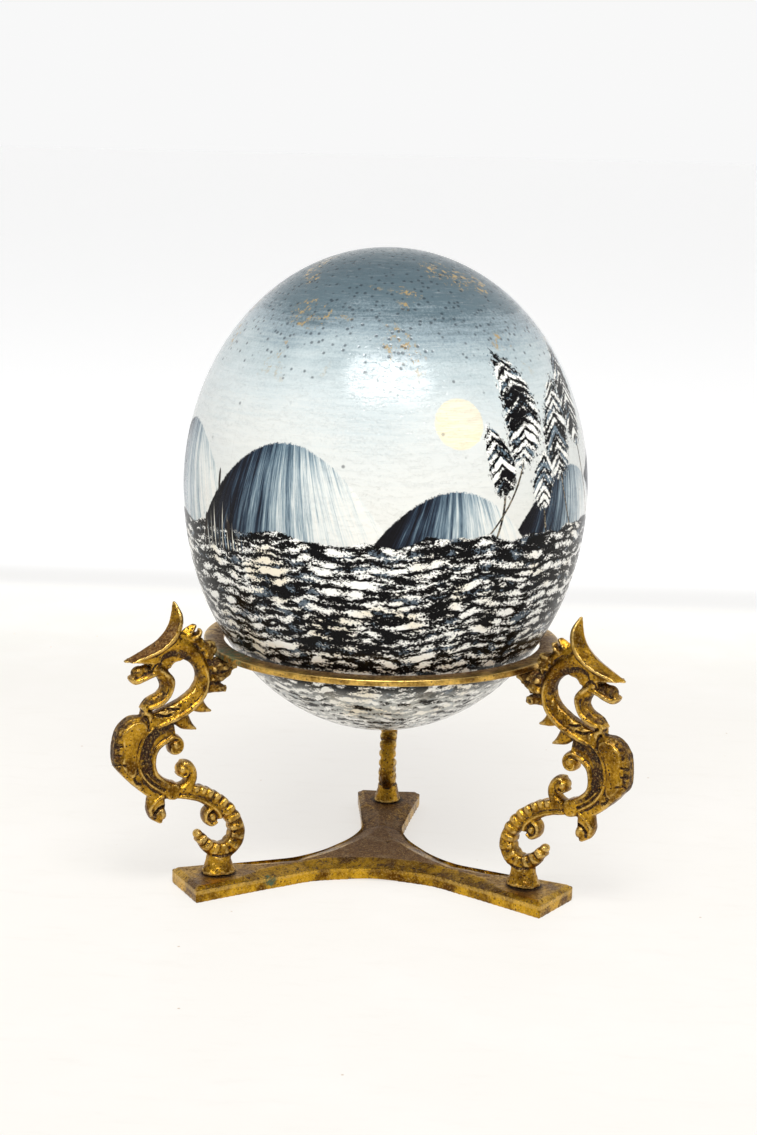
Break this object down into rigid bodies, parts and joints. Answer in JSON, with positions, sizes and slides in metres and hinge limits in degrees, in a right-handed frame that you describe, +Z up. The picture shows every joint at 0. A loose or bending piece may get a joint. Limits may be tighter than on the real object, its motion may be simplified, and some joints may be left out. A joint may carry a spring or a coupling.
{
  "type": "painted ostrich egg on stand",
  "caption": "Upright painted ostrich egg resting in the ring of a cast brass stand, on dragon-shaped legs over a star-shaped base plate.",
  "frame": {"origin": "on the stand's upright axis at table level, in the middle of the base plate's flat underside", "axes": "+Z up along the egg's axis; -Y towards the front, between the left and the right leg; +X to the right"},
  "size_m": [0.1559, 0.1516, 0.1961],
  "materials": {
    "painted_shell": "hand-painted egg shell under a clear gloss lacquer, pale sky above and black water with cream dabs below",
    "cast_brass": "sand-cast and lightly polished on the faces, brown patina in the recesses",
    "aged_brass": "brown patina above, filed bright edges, traces of verdigris",
    "screw_steel": "plain steel, slightly dulled"
  },
  "bodies": {
    "root": {"egg": "painted_shell", "ring": "aged_brass", "base": "aged_brass", "leg_left": "cast_brass", "leg_right": "cast_brass", "leg_back": "cast_brass", "screw_left": "screw_steel", "screw_right": "screw_steel", "screw_back": "screw_steel"}
  },
  "joints": []
}
